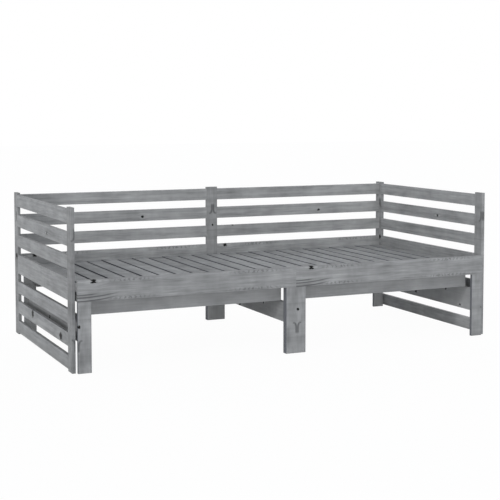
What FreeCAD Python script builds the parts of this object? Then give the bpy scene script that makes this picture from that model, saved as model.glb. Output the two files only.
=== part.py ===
import FreeCAD, Part
import os

# A pull-out daybed of stained pine boards. The fixed frame is two slatted side panels and a slatted back.
# The second frame stands on its own legs and slides out to the front. The slats of the two frames interleave.
# X runs along the bed, Y from front to back, and Z up from the floor, at the middle of the footprint.

# Fixed frame, in millimetres
bed_length = 2060.0        # outer face of one side panel to the other
frame_depth = 997.0        # front of the front posts to the back of the rear posts
board_thickness = 16.0
post_width = 60.0
narrow_board = 58.0
wide_board = 91.0
board_gap = 39.0           # between the boards of a side panel, and of the back
floor_gap = 8.0            # under a side panel's lowest board
post_reach = 9.0           # post tops above the top boards
boards_under_seat = 3      # narrow boards below the wide one in a side panel
boards_over_seat = 3       # narrow boards above the wide one, in the side panels and the back
edge_round = 1.5

# Pull-out frame
panel_clearance = 6.0      # pull-out frame to each side panel
rail_lead = 16.0           # front rail ahead of the posts
leg_width = 58.0
middle_leg_width = 97.0
bearer_height = 26.0
stretcher_top = 229.0      # floor to the upper edge of the stretchers
end_stretcher_height = 110.0
stretcher_inset = 6.0      # middle stretcher from the left edge of the middle legs
beam_set_back = 38.5       # inner face of the front rail to the front beam
back_clearance = 5.0       # pull-out frame to the ledger behind it

# Slat deck
slat_width = 69.0
slat_thickness = 15.0
slat_gap = 12.0            # least gap between neighbouring slats
slat_end_gap = 6.0         # fixed slats to the inner face of the front rail
ledger_depth = 20.0
running_clearance = 0.5    # fixed slats above the pull-out frame that slides under them

# Fasteners
dowel_radius = 4.0
dowel_length = 30.0
dowel_bite = 8.0           # depth in the piece that a board's end meets
dowel_inset = 15.0         # dowel axis from the board's edge
screw_radius = 2.0
screw_length = 28.0
screw_head_radius = 4.0
recess_reach = 2.2         # middle of a screw's head to the end of its cross recess
recess_width = 1.0
recess_depth = 1.5
screw_inset = 16.0         # screw axis from a slat's edge, or from the end of a leg board
fit_clearance = 0.1        # dowels and screws in their holes

# Places across the bed
panel_outside = bed_length / 2
panel_inside = panel_outside - board_thickness
pull_out_side = panel_inside - panel_clearance

# Places from front to back
total_depth = frame_depth + rail_lead
rail_front = -total_depth / 2
rail_back = rail_front + board_thickness
post_front = rail_front + rail_lead
frame_back = total_depth / 2
back_rail_front = frame_back - post_width / 2 - board_thickness / 2
back_rail_back = back_rail_front + board_thickness
ledger_front = back_rail_front - ledger_depth
pull_out_back = ledger_front - back_clearance
rear_leg_front = pull_out_back - 2 * board_thickness
front_beam_front = rail_back + beam_set_back
rear_beam_front = rear_leg_front - board_thickness

# Levels
board_heights = [narrow_board] * boards_under_seat + [wide_board] + [narrow_board] * boards_over_seat
board_levels = [floor_gap]
for height_below in board_heights[:-1]:
    board_levels.append(board_levels[-1] + height_below + board_gap)
rail_bottom = board_levels[boards_under_seat]
slat_bottom = rail_bottom + bearer_height
post_height = board_levels[-1] + board_heights[-1] + post_reach
bearer_middle = rail_bottom + bearer_height / 2

# Every second slat is fixed. An even number of pairs puts the end slats and the middle one on the bearers.
slat_pairs = 2 * int((2 * pull_out_side - slat_width) / (slat_width + slat_gap) / 4)
slat_pitch = (pull_out_side - slat_width / 2) / slat_pairs
slat_centres = [slat_pitch * step for step in range(-slat_pairs, slat_pairs + 1)]
pull_out_centres = slat_centres[::2]
fixed_centres = slat_centres[1::2]

X_WAYS = FreeCAD.Vector(1, 0, 0)
Y_WAYS = FreeCAD.Vector(0, 1, 0)
Z_WAYS = FreeCAD.Vector(0, 0, 1)

pieces = {}
holes = {}


def board(low, high):
    """A board between two corners, with its long edges eased."""
    size = [top - bottom for bottom, top in zip(low, high)]
    solid = Part.makeBox(*size, FreeCAD.Vector(*low))
    along = size.index(max(size))
    long_edges = [edge for edge in solid.Edges if abs(edge.tangentAt(edge.FirstParameter)[along]) > 0.5]
    return solid.makeFillet(min(edge_round, min(size) / 3), long_edges)


def add_board(name, low, high):
    """Adds a board to the named piece, which may be a group of boards."""
    pieces.setdefault(name, []).append(board(low, high))


def drill(tool, *names):
    """Keeps a hole for each of the named pieces."""
    for name in names:
        holes.setdefault(name, []).append(tool)


def dowel_joint(group, receiver, butting, points, into_board):
    """Dowels across a butt joint, with into_board pointing from the receiving piece into the board's end."""
    for point in points:
        start = FreeCAD.Vector(*point) - into_board * dowel_bite
        pieces.setdefault(group, []).append(Part.makeCylinder(dowel_radius, dowel_length, start, into_board))
        hole_start = start - into_board * fit_clearance
        hole_length = dowel_length + 2 * fit_clearance
        drill(Part.makeCylinder(dowel_radius + fit_clearance, hole_length, hole_start, into_board),
              receiver, butting)


def countersunk(point, drive, grow):
    """A countersunk screw, or its hole if it grows by a clearance, with the head flush at the point."""
    head_depth = screw_head_radius - screw_radius
    head = Part.makeCone(screw_head_radius + grow, screw_radius + grow, head_depth, point, drive)
    shank_length = screw_length - head_depth + grow
    shank = Part.makeCylinder(screw_radius + grow, shank_length, point + drive * head_depth, drive)
    return head.fuse(shank).removeSplitter()


def cross_recess(point, drive):
    """The recess for the driver in a screw's head."""
    slot = Part.makeBox(2 * recess_reach, recess_width, recess_depth,
                        FreeCAD.Vector(-recess_reach, -recess_width / 2, 0))
    crossing = slot.copy()
    crossing.rotate(FreeCAD.Vector(0, 0, 0), Z_WAYS, 90)
    cross = slot.fuse(crossing)
    cross.Placement = FreeCAD.Placement(point, FreeCAD.Rotation(Z_WAYS, drive))
    return cross


def screw(group, point, drive, *through):
    """A screw driven at a point through the named pieces."""
    head = FreeCAD.Vector(*point)
    pieces.setdefault(group, []).append(countersunk(head, drive, 0.0).cut(cross_recess(head, drive)))
    drill(countersunk(head, drive, fit_clearance), *through)


def edge_pair(low, high):
    """The two dowel places between a board's edges."""
    return (low + dowel_inset, high - dowel_inset)


def side_panel(side, low_x):
    """A side panel: two posts with the boards doweled between them."""
    high_x = low_x + board_thickness
    front_end = post_front + post_width
    rear_end = frame_back - post_width
    front_post = side + "_front_post"
    rear_post = side + "_rear_post"
    add_board(front_post, (low_x, post_front, 0), (high_x, front_end, post_height))
    add_board(rear_post, (low_x, rear_end, 0), (high_x, frame_back, post_height))
    for number, (bottom, height) in enumerate(zip(board_levels, board_heights), 1):
        name = f"{side}_board_{number}"
        middle_x = low_x + board_thickness / 2
        add_board(name, (low_x, front_end, bottom), (high_x, rear_end, bottom + height))
        for post, end, into_board in ((front_post, front_end, Y_WAYS), (rear_post, rear_end, -Y_WAYS)):
            points = [(middle_x, end, z) for z in edge_pair(bottom, bottom + height)]
            dowel_joint("fixed_dowels", post, name, points, into_board)


def back_half(side, outer_x, inner_x):
    """The back rails from a side panel to the centre post, and the ledger in front of them."""
    low_x, high_x = sorted((outer_x, inner_x))
    middle_y = (back_rail_front + back_rail_back) / 2
    outward = X_WAYS if outer_x > inner_x else -X_WAYS
    for number, level in enumerate(range(boards_under_seat, len(board_levels)), 1):
        name = f"{side}_back_rail_{number}"
        bottom = board_levels[level]
        top = bottom + board_heights[level]
        add_board(name, (low_x, back_rail_front, bottom), (high_x, back_rail_back, top))
        for post, end, into_board in ((side + "_rear_post", outer_x, -outward),
                                      ("back_centre_post", inner_x, outward)):
            points = [(end, middle_y, z) for z in edge_pair(bottom, top)]
            dowel_joint("fixed_dowels", post, name, points, into_board)
    ledger_low, ledger_high = sorted((outer_x, 0.0))
    add_board(side + "_slat_ledger", (ledger_low, ledger_front, rail_bottom),
              (ledger_high, back_rail_front, slat_bottom + running_clearance))


def fixed_slats():
    """The slats that stay with the back, screwed to the ledger, and the ledger's own screws."""
    bottom = slat_bottom + running_clearance
    top = bottom + slat_thickness
    screw_y = (ledger_front + back_rail_front) / 2
    for centre in fixed_centres:
        side = "left" if centre < 0 else "right"
        low_x = centre - slat_width / 2
        high_x = centre + slat_width / 2
        add_board("fixed_slats", (low_x, rail_back + slat_end_gap, bottom), (high_x, back_rail_front, top))
        for x in (low_x + screw_inset, high_x - screw_inset):
            screw("fixed_screws", (x, screw_y, top), -Z_WAYS, "fixed_slats", side + "_slat_ledger")
    for x in pull_out_centres[1:-1:2]:
        side = "left" if x < 0 else "right"
        screw("fixed_screws", (x, ledger_front, bearer_middle), Y_WAYS,
              side + "_slat_ledger", side + "_back_rail_1")


def leg_frame(place, low_x, high_x, backing, stretcher_x, stretcher_height):
    """A front leg, a rear leg, the bearer above them and the stretcher between them.
    Backing is the thickness of a second board on both legs."""
    front_leg = place + "_front_leg"
    rear_leg = place + "_rear_leg"
    bearer = place + "_bearer"
    stretcher = place + "_stretcher"
    front_end = rail_back + backing
    rear_leg_back = rear_leg_front + board_thickness
    add_board(front_leg, (low_x, rail_front, 0), (high_x, rail_back, rail_bottom))
    add_board(rear_leg, (low_x, rear_leg_front, 0), (high_x, rear_leg_back, rail_bottom))
    add_board(bearer, (low_x, front_end, rail_bottom), (high_x, rear_leg_back + backing, slat_bottom))
    front_meets = front_leg + "_backer" if backing else front_leg
    bearer_meets = front_meets if backing else place + "_front_rail"
    stretcher_bottom = stretcher_top - stretcher_height
    middle_x = stretcher_x + board_thickness / 2
    add_board(stretcher, (stretcher_x, front_end, stretcher_bottom),
              (stretcher_x + board_thickness, rear_leg_front, stretcher_top))
    for leg, end, into_board in ((front_meets, front_end, Y_WAYS), (rear_leg, rear_leg_front, -Y_WAYS)):
        points = [(middle_x, end, z) for z in edge_pair(stretcher_bottom, stretcher_top)]
        dowel_joint("pull_out_dowels", leg, stretcher, points, into_board)
    bearer_points = [(x, front_end, bearer_middle) for x in edge_pair(low_x, high_x)]
    dowel_joint("pull_out_dowels", bearer_meets, bearer, bearer_points, Y_WAYS)
    rear_leg_middle = rear_leg_front + board_thickness / 2
    rear_points = [(x, rear_leg_middle, rail_bottom) for x in edge_pair(low_x, high_x)]
    dowel_joint("pull_out_dowels", bearer, rear_leg, rear_points, -Z_WAYS)


def middle_backers(low_x, high_x):
    """The second board of each middle leg. The front one also ties the halves of the front rail."""
    front_back = rail_back + board_thickness
    rear_leg_back = rear_leg_front + board_thickness
    front_backer = "middle_front_leg_backer"
    rear_backer = "middle_rear_leg_backer"
    add_board(front_backer, (low_x, rail_back, 0), (high_x, front_back, slat_bottom))
    add_board(rear_backer, (low_x, rear_leg_back, 0), (high_x, pull_out_back, rail_bottom))
    for side, x in (("left", -dowel_inset), ("right", dowel_inset)):
        screw("pull_out_screws", (x, front_back, bearer_middle), -Y_WAYS, front_backer, side + "_front_rail")
    for z in (screw_inset, rail_bottom - screw_inset):
        screw("pull_out_screws", (0, front_back, z), -Y_WAYS, front_backer, "middle_front_leg")
        screw("pull_out_screws", (0, pull_out_back, z), -Y_WAYS, rear_backer, "middle_rear_leg")


def pull_out_half(side, outward, outer_leg, inner_leg):
    """Half of the front rail on its legs, and the cross beams between the bearers."""
    low_x, high_x = sorted((0.0, outward * pull_out_side))
    rail = side + "_front_rail"
    rail_middle = (rail_front + rail_back) / 2
    add_board(rail, (low_x, rail_front, rail_bottom), (high_x, rail_back, rail_bottom + wide_board))
    for leg, places in ((side + "_front_leg", edge_pair(*sorted((outward * pull_out_side, outer_leg)))),
                        ("middle_front_leg", edge_pair(*sorted((0.0, inner_leg))))):
        dowel_joint("pull_out_dowels", rail, leg, [(x, rail_middle, rail_bottom) for x in places], -Z_WAYS)
    beam_low, beam_high = sorted((outer_leg, inner_leg))
    away = X_WAYS * outward
    for place, front in (("front", front_beam_front), ("rear", rear_beam_front)):
        beam = f"{side}_{place}_beam"
        beam_middle = front + board_thickness / 2
        add_board(beam, (beam_low, front, slat_bottom - wide_board),
                  (beam_high, front + board_thickness, slat_bottom))
        for bearer, x, into_board in ((side + "_bearer", outer_leg, -away), ("middle_bearer", inner_leg, away)):
            dowel_joint("pull_out_dowels", bearer, beam, [(x, beam_middle, bearer_middle)], into_board)


def pull_out_slats():
    """The slats of the pull-out frame, screwed to the cross beams or to the bearer under them."""
    top = slat_bottom + slat_thickness
    bearers = {pull_out_centres[0]: "left_bearer", 0.0: "middle_bearer", pull_out_centres[-1]: "right_bearer"}
    for centre in pull_out_centres:
        side = "left" if centre < 0 else "right"
        add_board("pull_out_slats", (centre - slat_width / 2, rail_back, slat_bottom),
                  (centre + slat_width / 2, pull_out_back, top))
        for place, front in (("front", front_beam_front), ("rear", rear_beam_front)):
            carrier = bearers.get(centre, f"{side}_{place}_beam")
            screw("pull_out_screws", (centre, front + board_thickness / 2, top), -Z_WAYS,
                  "pull_out_slats", carrier)


side_panel("left", -panel_outside)
side_panel("right", panel_inside)
add_board("back_centre_post", (-post_width / 2, back_rail_front, 0),
          (post_width / 2, back_rail_back, post_height))
back_half("left", -panel_inside, -post_width / 2)
back_half("right", panel_inside, post_width / 2)
fixed_slats()

outer_leg_edge = pull_out_side - leg_width
middle_leg_edge = middle_leg_width / 2
end_stretcher_x = outer_leg_edge + (leg_width - board_thickness) / 2
leg_frame("left", -pull_out_side, -outer_leg_edge, 0.0,
          -end_stretcher_x - board_thickness, end_stretcher_height)
leg_frame("middle", -middle_leg_edge, middle_leg_edge, board_thickness,
          -middle_leg_edge + stretcher_inset, wide_board)
leg_frame("right", outer_leg_edge, pull_out_side, 0.0, end_stretcher_x, end_stretcher_height)
middle_backers(-middle_leg_edge, middle_leg_edge)
pull_out_half("left", -1, -outer_leg_edge, -middle_leg_edge)
pull_out_half("right", 1, outer_leg_edge, middle_leg_edge)
pull_out_slats()

os.makedirs("parts", exist_ok=True)
for name, solids in pieces.items():
    tools = holes.get(name, [])
    drilled = [solid.cut(tools) if tools else solid for solid in solids]
    finished = [solid for shape in drilled for solid in shape.Solids]
    shape = finished[0] if len(finished) == 1 else Part.makeCompound(finished)
    shape.exportStep(f"parts/{name}.step")
    print(name, len(finished), "solids", round(shape.Volume / 1000), "cm3", "valid" if shape.isValid() else "BAD")
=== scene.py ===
"""The finish of a pull-out daybed of grey-stained pine, on a white floor under soft studio light."""
import math
import bpy
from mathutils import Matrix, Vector


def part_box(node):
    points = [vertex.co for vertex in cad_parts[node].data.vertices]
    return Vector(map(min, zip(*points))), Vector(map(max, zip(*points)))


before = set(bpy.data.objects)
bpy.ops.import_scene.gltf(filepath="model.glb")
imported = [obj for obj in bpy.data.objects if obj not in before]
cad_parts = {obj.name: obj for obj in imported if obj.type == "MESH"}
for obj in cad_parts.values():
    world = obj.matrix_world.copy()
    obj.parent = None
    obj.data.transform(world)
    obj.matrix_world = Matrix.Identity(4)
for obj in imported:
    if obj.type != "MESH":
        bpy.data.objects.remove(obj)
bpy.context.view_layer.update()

MM = 0.001
X, Y, Z = 0, 1, 2
WHITE = (1, 1, 1, 1)

# The photograph's viewpoint, with part of its framing from a shifted lens
CAMERA_PLACE = (-2.3335, -5.1021, 1.09)
CAMERA_TURN = 24.619           # degrees from square on to the front
CAMERA_PITCH = 3.947           # degrees down
CAMERA_LENS = 83.46            # millimetres
CAMERA_SENSOR = 36.0           # millimetres
CAMERA_SHIFT = -0.12           # share of the picture's side

# Light, as a share of the level at which a colour renders as it is written
DOME_LEVEL = 0.5
DOME_TINT = "#F2F6FF"          # a little cool, as light from a sky
# Far soft boxes: the way the light travels, its width in degrees, and what it gives a face square to it
LAMPS = {
    "key": ((1.5, 1.0, -1.2), 4, 0.15),
    "front_fill": ((0.1, 1.0, -0.09), 18, 0.37),
    "left_fill": ((1.0, 0.25, -0.1), 18, 0.31),
    "back_fill": ((-0.5, -1.0, -0.35), 40, 0.5),
    "right_fill": ((-1.0, 0.0, -0.02), 18, 0.2),
}
FLOOR_SIZE = 60                # metres
FLOOR_COLOUR = "#FAFAFA"
FLOOR_WHITE = 0.97             # share of the floor's look that is plain white, the rest shows the shadow

# The deck's slats
SLAT_WIDTH = 69                # millimetres
PULL_OUT_SLATS = 13

# Colours of the stain on the pine, and of the shade painted on narrow side faces
DEEP_STAIN = "#646565"
MIDDLE_STAIN = "#8C8D8D"
PALE_STAIN = "#ACADAD"
KNOT_HEART = "#070707"
KNOT_EYE = "#A2A3A3"
LATE_WOOD = "#444546"
WORN_EDGE = "#9C9D9D"
PAINTED_SIDE_SHADE = "#66686C"          # painted shade on the narrow side faces of slats and legs, for the dark gaps between slats and the legs' shaded sides
# How pale each kind of piece is beside the others, by a part of its name, the first that fits. Partly the
# stain's own differences between boards, partly painted light: the slats, back rails, lowest right board,
# rear legs and right stretcher are made paler against the shade that falls on them
TONES = {"centre_post": 1.0, "right_front_post": 0.98, "rear_post": 0.88, "front_post": 0.84,
         "slats": 1.22, "front_rail": 0.96, "back_rail_1": 1.18, "back_rail": 1.12,
         "left_board": 0.98, "right_board_1": 1.32, "right_board": 1.07, "rear_leg": 1.08,
         "leg": 0.97, "beam": 0.97, "right_stretcher": 1.25}

# Surface of the stained pine
WOOD_IOR = 1.48
STAIN_GLOSS = 0.25             # specular level of a thin matt coat
STAIN_ROUGHNESS = (0.72, 0.55)  # in a dark streak and in a pale one
GRAIN_BUMP = 0.25
GRAIN_DEPTH = 0.6              # millimetres
FIBRE_HEIGHT = 0.5             # as a share of a streak's height
KNOT_SINK = 0.6                # how far a knot lies below the wood round it, as a share of the same

# Figure of the pine: size along the grain and across it in millimetres, the detail of its noise, and how
# many seeds it is on from the board's own
STREAK = (260, 13, 4.0, 0)
FIBRE = (70, 3.5, 2.0, 1)
PATCH = (120, 65, 2.0, 2)
CHATTER = (18, 200, 1.0, 4)    # faint bands across the board, left by the planer
DASH_UNEVEN = (25, 12, 2.0, 5)  # uneven places of torn grain
KNOT_EDGE = (9, 6, 2.0, 6)     # ragged edge of a knot
FIGURE_ROUGHNESS = 0.55
FIGURE_STEP = (7.3, 3.1, 5.7)  # from one seed's part of the noise to the next
# Strength of the streaks, fibres, patches, chatter and rings in each kind of piece
BOARD_FIGURE = (0.6, 0.6, 0.75, 0.12, 0.1)
UPRIGHT_FIGURE = (0.22, 0.25, 1.0, 0.4, 0.05)
SLAT_FIGURE = (0.25, 0.25, 0.9, 0.5, 0.06)
PLAIN_FIGURE = (0.15, 0.2, 0.6, 0.1, 0.04)
# Boards under the deck, from plainer stock
UNDER_DECK = ("beam", "stretcher", "rear_leg", "bearer", "ledger", "backer")
SLAT_SPREAD = 0.22             # strength of the difference in shade between slats
SLAT_SHIFT = 9.0               # metres of figure over which the slats take their own lengths of it

# Growth rings round the heart of the log, in millimetres
RING_SPACING = 9.0             # real rings are 3 mm apart, too fine to show from a step away
PITH_DEPTH = 55.0              # heart of the log behind the board's face
PITH_SWING = 20.0              # how far the heart may be from the middle of a board's width
# Turn and bend of the rings
PITH_TURN = 2.1                # radians of that swing from one board to the next
RING_TAPER = 0.03              # how fast the rings run out along the board, as a share of across it
RING_BEND = 5.0                # distortion of the wave texture, with its detail and the detail's scale
RING_DETAIL = 2.0
RING_DETAIL_SCALE = 0.35
WAVE_RATE = 20                 # radians in a metre of the wave texture at a scale of 1

# Edges, in millimetres in from the edge: where the change starts and where it is complete
EDGE_WEAR = (2.0, 0.0)
SIDE_SHADE_REACH = (1.2, 0.4)        # the painted shade of a narrow side face, as it comes round the corner

# Knots by board: place along the board and across it in the frame's millimetres, then length and height
KNOTS = {
    "left_front_rail": [(-939, 383, 27, 18)],
    "right_front_rail": [(76, 384, 27, 18)],
    "left_back_rail_1": [(-942, 380, 27, 15)],
    "right_back_rail_1": [(74, 382, 27, 15)],
    "left_back_rail_2": [(-894, 485, 14, 7)],
    "right_back_rail_2": [(118, 485, 14, 7)],
    "left_back_rail_3": [(-382, 548, 15, 12)],
    "right_back_rail_3": [(630, 548, 15, 12)],
    "left_board_6": [(-108, 549, 20, 12)],
    "right_board_6": [(-109, 549, 20, 12)],
    "left_board_2": [(163, 146, 40, 34), (-319, 128, 40, 32)],
    "right_board_2": [(163, 146, 40, 34), (-319, 128, 40, 32)],
    "left_stretcher": [(22, 152, 24, 16)],
    "middle_stretcher": [(17, 144, 36, 24), (-253, 194, 15, 10)],
    "right_stretcher": [(19, 143, 26, 16), (-255, 194, 16, 10), (-379, 133, 20, 11)],
    "left_rear_post": [(384, 466, 26, 36)],
    "right_rear_post": [(384, 459, 28, 18)],
    "left_front_leg": [(197, -1003, 13, 11)],
    "middle_front_leg": [(198, 9, 12, 13)],
    "back_centre_post": [(491, 3, 10, 9)],
}
KNOT_RAGGED = 0.9              # how far its ragged edge wanders, as a share of the knot
KNOT_RIM = (0.38, 0.6)         # nearness at which the black starts and is complete
# A long knot has a pale eye on each side, in shares of the knot's own length and height
KNOT_WITH_EYES = 1.3           # least length over height
EYE_PLACE = 0.75
EYE_LENGTH = 0.9
EYE_HEIGHT = 0.4
EYE_RIM = (0.25, 0.6)          # nearness at which the pale starts and is complete
EYE_STRENGTH = 0.85
# Grain round a knot, which draws in towards it, in the same shares
PULL_LENGTH = 3
PULL_HEIGHT = 2.5
PULL_SQUEEZE = 0.2             # width of the grain that is left at the knot

# Where the grain parts round a branch: the axis across the face, the closed and the open end along the
# board, and the middle across it, in the frame's millimetres
FORKS = {
    "left_front_leg": [(X, 91, 140, -1010)],
    "middle_front_leg": [(X, 91, 140, 5)],
    "right_front_leg": [(X, 91, 140, 1019)],
    "back_centre_post": [(X, 600, 550, 4)],
    "left_front_post": [(X, 602, 550, -1011), (X, 91, 142, -1011)],
    "right_front_post": [(Y, 600, 550, -486)],
    "left_rear_post": [(Y, 600, 550, 462)],
    "right_rear_post": [(Y, 600, 550, 462)],
}
FORK_TRUNK = 4.0               # half of the trunk's width
FORK_FLARE = 36.0              # how fast the arms spread
FORK_LINE = 9.0
FORK_TICK = 16.0               # middle of the fork to the tick at the end of an arm
FORK_DEPTH = 12.0              # behind a front face, over which the marks on it fade
# The same marks in shares of the fork's length, from its closed end
FORK_MIDDLE = 0.5              # where the arms leave the trunk
FORK_FADE = 0.1                # each way at both ends
TICK_PLACE = 0.95
TICK_LINE = 0.12
CROSS_LINES = (-0.4, 2.74)     # faint lines across the face
CROSS_LINE = 0.1
CROSS_LINE_STRENGTH = 0.22
CROSS_BAND = (-0.55, 0.6)      # middle and half-width of a faint band across the face
CROSS_BAND_STRENGTH = 0.15

# Dark late-wood lines that sweep up from the left end of a front rail: height at that end, rise and
# length, in millimetres
RAIL_LINES = [(2, 17, 180), (17, 17, 190), (28, 4, 90)]
RAIL_LINE_WIDTH = 5.0
RAIL_LINE_FADE = 0.7           # share of its length at which a line starts to fade
# Rows of short dashes of torn grain along both long edges of the wide boards: start and end of each row,
# in millimetres from the board's left end
WIDE_BOARDS = ("front_rail", "back_rail_1")
DASH_ROWS = [(70, 390), (620, 1000)]
DASH_SPACING = 22.0
DASH_SHIFT = 2                 # how many spacings the uneven places may move a dash
DASH_INSET = 8.0
DASH_HEIGHT = 10.0
DASH_RIM = (0.1, 0.7)          # level of the wave at which a dash starts and is complete
DASH_STRENGTH = 0.75
LATE_WOOD_STRENGTH = 0.75

# Turned beech of the dowels
BEECH_DEEP = "#B98D62"
BEECH_PALE = "#D3AC80"
BEECH_FLECK = (6, 2, 2.0, 2)
BEECH_ROUGHNESS = 0.55

# Zinc plate of the screws
ZINC_DEEP = "#7C7F83"
ZINC_PALE = "#9A9DA0"
ZINC_MOTTLE = (2, 2, 2.0, 5)
ZINC_ROUGHNESS = (0.42, 0.6)


def linear(hex_colour, tone=1.0):
    """A colour written as sRGB hex, in linear light, and made darker or paler by a tone."""
    channels = [int(hex_colour[i:i + 2], 16) / 255 for i in (1, 3, 5)]
    return [tone * (c / 12.92 if c <= 0.04045 else ((c + 0.055) / 1.055) ** 2.4) for c in channels] + [1.0]


def new_material(name):
    """A material with an empty node tree."""
    material = bpy.data.materials.new(name)
    material.use_nodes = True
    material.node_tree.nodes.clear()
    return material


def add(tree, kind, inputs=None, **settings):
    """Adds a node with its settings. An input is a value, a socket, or a node for its first output."""
    node = tree.nodes.new("ShaderNode" + kind)
    for name, value in settings.items():
        setattr(node, name, value)
    for socket, value in (inputs or {}).items():
        if isinstance(value, bpy.types.Node):
            value = value.outputs[0]
        if isinstance(value, bpy.types.NodeSocket):
            tree.links.new(value, node.inputs[socket])
        else:
            node.inputs[socket].default_value = value
    return node


def figure(tree, point, kind, seed=0):
    """Noise stretched along the grain. Each seed has its own part of it."""
    along, across, detail, further = kind
    stretch = (1 / (along * MM), 1 / (across * MM), 1 / (across * MM))
    start = [(seed + further) * step for step in FIGURE_STEP]
    scaled = add(tree, "VectorMath", {0: point, 1: stretch, 2: start}, operation="MULTIPLY_ADD")
    return add(tree, "TexNoise", {"Vector": scaled, "Scale": 1.0, "Detail": detail,
                                  "Roughness": FIGURE_ROUGHNESS})


def nearness(tree, point, centre, reach, ragged=None):
    """1 at a centre on a board and 0 at an ellipse round it, at any depth. A noise makes it ragged."""
    away = add(tree, "VectorMath", {0: point, 1: centre}, operation="SUBTRACT")
    shares = add(tree, "VectorMath", {0: away, 1: (1 / reach[0], 1 / reach[1], 0)}, operation="MULTIPLY")
    distance = add(tree, "VectorMath", {0: shares}, operation="LENGTH").outputs["Value"]
    if ragged:
        distance = add(tree, "Math", {0: ragged, 1: KNOT_RAGGED, 2: distance}, operation="MULTIPLY_ADD")
        distance = add(tree, "Math", {0: distance, 1: KNOT_RAGGED / 2}, operation="SUBTRACT")
    return add(tree, "MapRange", {"Value": distance, "From Min": 1.0, "From Max": 0.0},
               interpolation_type="SMOOTHSTEP")


def off_middle(tree, value, middle):
    """How far a value is from a middle, to either side."""
    away = add(tree, "Math", {0: value, 1: middle}, operation="SUBTRACT")
    return add(tree, "Math", {0: away}, operation="ABSOLUTE")


def band(tree, value, middle, half_width):
    """1 where a value is at the middle, 0 half a width away."""
    away = off_middle(tree, value, middle)
    return add(tree, "MapRange", {"Value": away, "From Min": half_width, "From Max": 0.0},
               interpolation_type="SMOOTHSTEP")


def near_edges(tree, value, size, start, complete):
    """1 at both edges of a board. It starts and is complete so many millimetres in from the edge."""
    away = off_middle(tree, value, size / 2)
    return add(tree, "MapRange", {"Value": away, "From Min": size / 2 - start * MM,
                                  "From Max": size / 2 - complete * MM})


def most(tree, masks):
    """The strongest of several masks."""
    strongest = masks[0]
    for mask in masks[1:]:
        strongest = add(tree, "Math", {0: strongest, 1: mask}, operation="MAXIMUM")
    return strongest


class Board:
    """A board or a row of slats: its box, the axes along the grain, across it and through the thickness,
    and sockets for how far a point is along each, in metres from the low corner."""

    def __init__(self, tree, node, seed, grain, width):
        self.node = node
        self.seed = seed
        self.low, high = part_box(node)
        self.size = high - self.low
        self.grain = grain or sorted((X, Y, Z), key=lambda axis: -self.size[axis])
        along_axis, across_axis, thick_axis = self.grain
        self.width = width or self.size[across_axis]
        self.thickness = self.size[thick_axis]
        place = add(tree, "TexCoord").outputs["Object"]
        local = add(tree, "VectorMath", {0: place, 1: self.low}, operation="SUBTRACT")
        self.axes = add(tree, "SeparateXYZ", {0: local}).outputs
        self.along = self.axes[along_axis]
        self.across = self.axes[across_axis]
        self.thick = self.axes[thick_axis]

    def from_low(self, place, axis):
        """A place in the frame's millimetres, in metres from the low corner."""
        return place * MM - self.low[axis]


def part_slats(tree, slats, pitch):
    """Measures across each slat by itself, and gives it its own length of the figure. Returns the slat's
    lot, a number from 0 to 1."""
    shifted = add(tree, "Math", {0: slats.across, 1: (pitch - slats.width) / 2}, operation="ADD")
    number = add(tree, "Math", {0: shifted, 1: pitch}, operation="DIVIDE")
    number = add(tree, "Math", {0: number}, operation="FLOOR")
    lot = add(tree, "TexWhiteNoise", {"W": number}, noise_dimensions="1D")
    slats.across = add(tree, "Math", {0: number, 1: -pitch, 2: slats.across}, operation="MULTIPLY_ADD")
    slats.along = add(tree, "Math", {0: lot, 1: SLAT_SHIFT, 2: slats.along}, operation="MULTIPLY_ADD")
    return lot


def knots(tree, board, point):
    """Masks of a board's knots and of their pale eyes, and the point with the grain drawn in to them."""
    hearts = []
    eyes = []
    along_axis, across_axis, _ = board.grain
    ragged = figure(tree, point, KNOT_EDGE, board.seed) if board.node in KNOTS else None
    for along, across, length, height in KNOTS.get(board.node, []):
        centre = (board.from_low(along, along_axis), board.from_low(across, across_axis), 0)
        length_m, height_m = length * MM, height * MM
        hearts.append(nearness(tree, point, centre, (length_m, height_m), ragged))
        if length > KNOT_WITH_EYES * height:
            for side in (-1, 1):
                eye = (centre[0] + side * EYE_PLACE * length_m, centre[1], 0)
                eyes.append(nearness(tree, point, eye, (EYE_LENGTH * length_m, EYE_HEIGHT * height_m)))
        pull = nearness(tree, point, centre, (PULL_LENGTH * length_m, PULL_HEIGHT * height_m))
        drawn_in = add(tree, "VectorMath", {0: point, 1: (1, PULL_SQUEEZE, 1),
                                            2: (0, (1 - PULL_SQUEEZE) * centre[1], 0)},
                       operation="MULTIPLY_ADD")
        point = add(tree, "Mix", {0: pull, 4: point, 5: drawn_in}, data_type="VECTOR").outputs[1]
    return hearts, eyes, point


def growth_rings(tree, board, point):
    """Rings round the heart of the log, which lies behind the board's face."""
    swing = PITH_SWING * MM * math.sin(board.seed * PITH_TURN)
    pith = (0, -board.width / 2 + swing, PITH_DEPTH * MM)
    round_pith = add(tree, "VectorMath", {0: point, 1: (RING_TAPER, 1, 1), 2: pith},
                     operation="MULTIPLY_ADD")
    scale = 2 * math.pi / (WAVE_RATE * RING_SPACING * MM)
    return add(tree, "TexWave", {"Vector": round_pith, "Scale": scale, "Distortion": RING_BEND,
                                 "Detail": RING_DETAIL, "Detail Scale": RING_DETAIL_SCALE},
               wave_type="RINGS", rings_direction="X").outputs["Fac"]


def figure_strengths(board, slatted):
    """How strong each figure is in a piece."""
    if slatted:
        return SLAT_FIGURE
    if any(kind in board.node for kind in UNDER_DECK):
        return PLAIN_FIGURE
    return UPRIGHT_FIGURE if board.grain[0] == Z else BOARD_FIGURE


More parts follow.
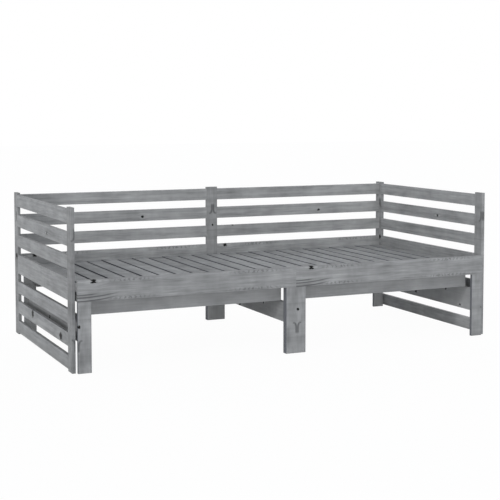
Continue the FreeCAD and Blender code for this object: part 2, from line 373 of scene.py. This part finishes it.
def stain_shade(tree, terms):
    """The shade of the stain, from 0 to 1 about a half: figures added up, each with its strength."""
    shade = 0.5 - sum(strength for value, strength in terms) / 2
    for value, strength in terms:
        shade = add(tree, "Math", {0: value, 1: strength, 2: shade}, operation="MULTIPLY_ADD")
    return shade


def stain_ramp(tree, shade, tone):
    """The colour of the stain by its shade."""
    ramp = add(tree, "ValToRGB", {0: shade})
    ramp.color_ramp.elements[0].color = linear(DEEP_STAIN, tone)
    ramp.color_ramp.elements[1].color = linear(PALE_STAIN, tone)
    ramp.color_ramp.elements.new(0.5).color = linear(MIDDLE_STAIN, tone)
    return ramp.outputs[0]


def edge_wear(tree, board, streak):
    """1 along the long edges, where handling rubs the stain thin, more in the pale streaks."""
    sides = near_edges(tree, board.across, board.width, *EDGE_WEAR)
    faces = near_edges(tree, board.thick, board.thickness, *EDGE_WEAR)
    edges = add(tree, "Math", {0: sides, 1: faces}, operation="MULTIPLY")
    return add(tree, "Math", {0: edges, 1: streak}, operation="MULTIPLY")


def fork_strokes(tree, share, away):
    """A thick trunk and two arms that spread from it."""
    past_trunk = add(tree, "Math", {0: share, 1: FORK_MIDDLE}, operation="SUBTRACT")
    past_trunk = add(tree, "Math", {0: past_trunk, 1: 0.0}, operation="MAXIMUM")
    squared = add(tree, "Math", {0: past_trunk, 1: 2.0}, operation="POWER")
    spread = add(tree, "Math", {0: squared, 1: FORK_FLARE * MM, 2: FORK_TRUNK * MM},
                 operation="MULTIPLY_ADD")
    line = band(tree, away, spread, FORK_LINE * MM)
    window = add(tree, "MapRange", {"Value": off_middle(tree, share, FORK_MIDDLE),
                                    "From Min": FORK_MIDDLE + FORK_FADE,
                                    "From Max": FORK_MIDDLE - FORK_FADE})
    return add(tree, "Math", {0: line, 1: window}, operation="MULTIPLY")


def fork(tree, board, axis, closed, opened, middle):
    """Dark grain that parts round a branch stub: a trunk, two arms that end in ticks, and faint marks
    across the face."""
    along_axis = board.grain[0]
    share = add(tree, "MapRange", {"Value": board.along, "From Min": board.from_low(closed, along_axis),
                                   "From Max": board.from_low(opened, along_axis)}, clamp=False)
    away = off_middle(tree, board.axes[axis], board.from_low(middle, axis))
    strokes = fork_strokes(tree, share, away)
    tick_length = band(tree, away, FORK_TICK * MM, FORK_TICK / 2 * MM)
    tick_line = band(tree, share, TICK_PLACE, TICK_LINE)
    tick = add(tree, "Math", {0: tick_length, 1: tick_line}, operation="MULTIPLY")
    lines = most(tree, [band(tree, share, place, CROSS_LINE) for place in CROSS_LINES])
    lines = add(tree, "Math", {0: lines, 1: CROSS_LINE_STRENGTH}, operation="MULTIPLY")
    wide = band(tree, share, *CROSS_BAND)
    wide = add(tree, "Math", {0: wide, 1: CROSS_BAND_STRENGTH}, operation="MULTIPLY")
    mark = most(tree, [strokes, tick, lines, wide])
    if axis == X:
        front = add(tree, "MapRange", {"Value": board.axes[Y], "From Min": FORK_DEPTH * MM,
                                       "From Max": 0.0})
        mark = add(tree, "Math", {0: mark, 1: front}, operation="MULTIPLY")
    return mark


def rail_lines(tree, rail):
    """Late-wood lines at the left end of a front rail."""
    lines = []
    for height, rise, length in RAIL_LINES:
        share = add(tree, "Math", {0: rail.along, 1: length * MM}, operation="DIVIDE")
        curve = add(tree, "Math", {0: share, 1: 2.0}, operation="POWER")
        level = add(tree, "Math", {0: curve, 1: rise * MM, 2: height * MM}, operation="MULTIPLY_ADD")
        line = band(tree, rail.across, level, RAIL_LINE_WIDTH * MM)
        fade = add(tree, "MapRange", {"Value": share, "From Min": 1.0, "From Max": RAIL_LINE_FADE})
        lines.append(add(tree, "Math", {0: line, 1: fade}, operation="MULTIPLY"))
    return most(tree, lines)


def dashes(tree, board, point):
    """Short dashes of torn grain, in rows near both long edges of a wide board."""
    levels = (DASH_INSET * MM, board.width - DASH_INSET * MM)
    edges = [band(tree, board.across, level, DASH_HEIGHT * MM) for level in levels]
    stretches = [band(tree, board.along, (start + end) / 2 * MM, (end - start) / 2 * MM)
                 for start, end in DASH_ROWS]
    row = add(tree, "Math", {0: most(tree, edges), 1: most(tree, stretches)}, operation="MULTIPLY")
    uneven = figure(tree, point, DASH_UNEVEN, board.seed)
    place = add(tree, "Math", {0: uneven, 1: DASH_SHIFT * DASH_SPACING * MM, 2: board.along},
                operation="MULTIPLY_ADD")
    turn = add(tree, "Math", {0: place, 1: 2 * math.pi / (DASH_SPACING * MM)}, operation="MULTIPLY")
    wave = add(tree, "Math", {0: turn}, operation="SINE")
    dash = add(tree, "MapRange", {"Value": wave, "From Min": DASH_RIM[0], "From Max": DASH_RIM[1]})
    dash = add(tree, "Math", {0: dash, 1: row}, operation="MULTIPLY")
    return add(tree, "Math", {0: dash, 1: DASH_STRENGTH}, operation="MULTIPLY")


def late_wood_marks(tree, board, point):
    """Masks of the dark marks that a board's grain leaves on it."""
    marks = [fork(tree, board, *place) for place in FORKS.get(board.node, [])]
    if board.node.endswith("front_rail"):
        marks.append(rail_lines(tree, board))
    if board.node.endswith(WIDE_BOARDS):
        marks.append(dashes(tree, board, point))
    return marks


def grey_stained_pine(node, seed, grain=None, pitch=None, width=None):
    """Planed pine under a thin grey stain, matt, with streaks along the grain, black knots and dark late
    wood. A node that is a row of slats gives the grain's axes, the pitch of the row and a slat's width."""
    material = new_material("grey_stained_pine_" + node)
    tree = material.node_tree
    board = Board(tree, node, seed, grain, width)
    lots = [(part_slats(tree, board, pitch), SLAT_SPREAD)] if pitch else []
    point = add(tree, "CombineXYZ", {0: board.along, 1: board.across, 2: board.thick})
    hearts, eyes, point = knots(tree, board, point)
    figures = [figure(tree, point, kind, seed) for kind in (STREAK, FIBRE, PATCH, CHATTER)]
    figures.append(growth_rings(tree, board, point))
    streak, fibre = figures[:2]
    shade = stain_shade(tree, lots + list(zip(figures, figure_strengths(board, pitch))))
    # The tone is partly painted light, which lifts pieces that lie in shade
    tone = next((share for kind, share in TONES.items() if kind in node), 1.0)
    colour = stain_ramp(tree, shade, tone)
    height = add(tree, "Math", {0: fibre, 1: FIBRE_HEIGHT, 2: streak}, operation="MULTIPLY_ADD")

    # Colours laid over the stain: worn edges, painted shade on narrow side faces, late wood, knots and
    # their eyes
    colour_layers = [(edge_wear(tree, board, streak), linear(WORN_EDGE, tone))]
    # Painted shade on the narrow side faces of slats and legs, where the gaps between slats and the legs'
    # sides lie in shadow
    if pitch or "leg" in node:
        colour_layers.append((near_edges(tree, board.across, board.width, *SIDE_SHADE_REACH), linear(PAINTED_SIDE_SHADE)))
    marks = late_wood_marks(tree, board, point)
    if marks:
        late = add(tree, "Math", {0: most(tree, marks), 1: LATE_WOOD_STRENGTH}, operation="MULTIPLY")
        colour_layers.append((late, linear(LATE_WOOD)))
    if hearts:
        heart = add(tree, "MapRange", {"Value": most(tree, hearts), "From Min": KNOT_RIM[0],
                                       "From Max": KNOT_RIM[1]})
        colour_layers.append((heart, linear(KNOT_HEART)))
        height = add(tree, "Math", {0: heart, 1: -KNOT_SINK, 2: height}, operation="MULTIPLY_ADD")
    if eyes:
        pale = add(tree, "MapRange", {"Value": most(tree, eyes), "From Min": EYE_RIM[0],
                                      "From Max": EYE_RIM[1], "To Max": EYE_STRENGTH})
        colour_layers.append((pale, linear(KNOT_EYE, tone)))
    for mask, layer_colour in colour_layers:
        colour = add(tree, "Mix", {0: mask, 6: colour, 7: layer_colour}, data_type="RGBA").outputs[2]

    rough = add(tree, "MapRange", {"Value": streak, "To Min": STAIN_ROUGHNESS[0],
                                   "To Max": STAIN_ROUGHNESS[1]})
    bump = add(tree, "Bump", {"Height": height, "Strength": GRAIN_BUMP, "Distance": GRAIN_DEPTH * MM})
    surface = add(tree, "BsdfPrincipled", {"Base Color": colour, "Roughness": rough, "Normal": bump,
                                           "IOR": WOOD_IOR, "Specular IOR Level": STAIN_GLOSS})
    add(tree, "OutputMaterial", {"Surface": surface})
    return material


def beech(name):
    """Turned beech, pale and even, with short flecks along the dowel."""
    material = new_material(name)
    tree = material.node_tree
    place = add(tree, "TexCoord").outputs["Object"]
    ramp = add(tree, "ValToRGB", {0: figure(tree, place, BEECH_FLECK)})
    ramp.color_ramp.elements[0].color = linear(BEECH_DEEP)
    ramp.color_ramp.elements[1].color = linear(BEECH_PALE)
    surface = add(tree, "BsdfPrincipled", {"Base Color": ramp, "Roughness": BEECH_ROUGHNESS,
                                           "IOR": WOOD_IOR})
    add(tree, "OutputMaterial", {"Surface": surface})
    return material


def zinc_plated_steel(name):
    """Steel screws with a dull zinc plate, a soft blue-grey gleam with a little mottling."""
    material = new_material(name)
    tree = material.node_tree
    place = add(tree, "TexCoord").outputs["Object"]
    mottle = figure(tree, place, ZINC_MOTTLE)
    ramp = add(tree, "ValToRGB", {0: mottle})
    ramp.color_ramp.elements[0].color = linear(ZINC_DEEP)
    ramp.color_ramp.elements[1].color = linear(ZINC_PALE)
    rough = add(tree, "MapRange", {"Value": mottle, "To Min": ZINC_ROUGHNESS[0],
                                   "To Max": ZINC_ROUGHNESS[1]})
    surface = add(tree, "BsdfPrincipled", {"Base Color": ramp, "Metallic": 1.0, "Roughness": rough})
    add(tree, "OutputMaterial", {"Surface": surface})
    return material


def finish_node(node, material):
    """Gives a CAD node one material all over."""
    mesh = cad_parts[node].data
    mesh.materials.clear()
    mesh.materials.append(material)


def finish_daybed():
    """Gives every piece its material. The slats' pitch comes from the width of the pull-out row."""
    low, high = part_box("pull_out_slats")
    slat_width = SLAT_WIDTH * MM
    slat_pitch = (high.x - low.x - slat_width) / (PULL_OUT_SLATS - 1)
    for seed, node in enumerate(sorted(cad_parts), 1):
        if node.endswith("_slats"):
            finish_node(node, grey_stained_pine(node, seed, (Y, X, Z), slat_pitch, slat_width))
        elif node.endswith("_dowels"):
            finish_node(node, beech("beech_" + node))
        elif node.endswith("_screws"):
            finish_node(node, zinc_plated_steel("zinc_plated_steel_" + node))
        else:
            finish_node(node, grey_stained_pine(node, seed))


def shown_directly(tree):
    """1 for what the camera sees, straight or in a reflection, where the background is plain white."""
    path = add(tree, "LightPath").outputs
    return most(tree, [path["Is Camera Ray"], path["Is Glossy Ray"], path["Is Transmission Ray"]])


def make_floor():
    """A wide white floor that keeps a faint shadow."""
    bpy.ops.object.select_all(action="DESELECT")
    bpy.ops.mesh.primitive_plane_add(size=FLOOR_SIZE, location=(0, 0, 0))
    floor = bpy.context.object
    floor.name = "floor"
    material = new_material("white_floor")
    tree = material.node_tree
    matt = add(tree, "BsdfDiffuse", {"Color": linear(FLOOR_COLOUR)})
    white = add(tree, "Emission", {"Color": WHITE, "Strength": 1.0})
    share = add(tree, "Math", {0: shown_directly(tree), 1: FLOOR_WHITE}, operation="MULTIPLY")
    mixed = add(tree, "MixShader", {0: share, 1: matt, 2: white})
    add(tree, "OutputMaterial", {"Surface": mixed})
    floor.data.materials.append(material)


def make_world():
    """Even cool light from all round, seen by the camera as plain white."""
    world = bpy.data.worlds.new("studio")
    bpy.context.scene.world = world
    world.use_nodes = True
    tree = world.node_tree
    tree.nodes.clear()
    direct = shown_directly(tree)
    level = add(tree, "MapRange", {"Value": direct, "To Min": DOME_LEVEL, "To Max": 1.0})
    tint = add(tree, "Mix", {0: direct, 6: linear(DOME_TINT), 7: WHITE}, data_type="RGBA").outputs[2]
    light = add(tree, "Background", {"Color": tint, "Strength": level})
    add(tree, "OutputWorld", {"Surface": light})


def make_lamp(name, travel, spread, share):
    """A far soft box, from its row in the list of lamps."""
    lamp = bpy.data.lights.new(name, "SUN")
    lamp.angle = math.radians(spread)
    lamp.energy = share * math.pi
    holder = bpy.data.objects.new(name, lamp)
    holder.visible_glossy = False
    bpy.context.scene.collection.objects.link(holder)
    holder.rotation_euler = Vector(travel).to_track_quat("-Z", "Y").to_euler()


def make_camera():
    """The photograph's camera."""
    lens = bpy.data.cameras.new("camera")
    lens.lens = CAMERA_LENS
    lens.sensor_width = CAMERA_SENSOR
    lens.shift_y = CAMERA_SHIFT
    camera = bpy.data.objects.new("camera", lens)
    bpy.context.scene.collection.objects.link(camera)
    camera.location = CAMERA_PLACE
    camera.rotation_euler = (math.radians(90 - CAMERA_PITCH), 0, -math.radians(CAMERA_TURN))
    bpy.context.scene.camera = camera


finish_daybed()
make_floor()
make_world()
for name, lamp in LAMPS.items():
    make_lamp(name, *lamp)
make_camera()
bpy.context.scene.view_settings.view_transform = "Standard"
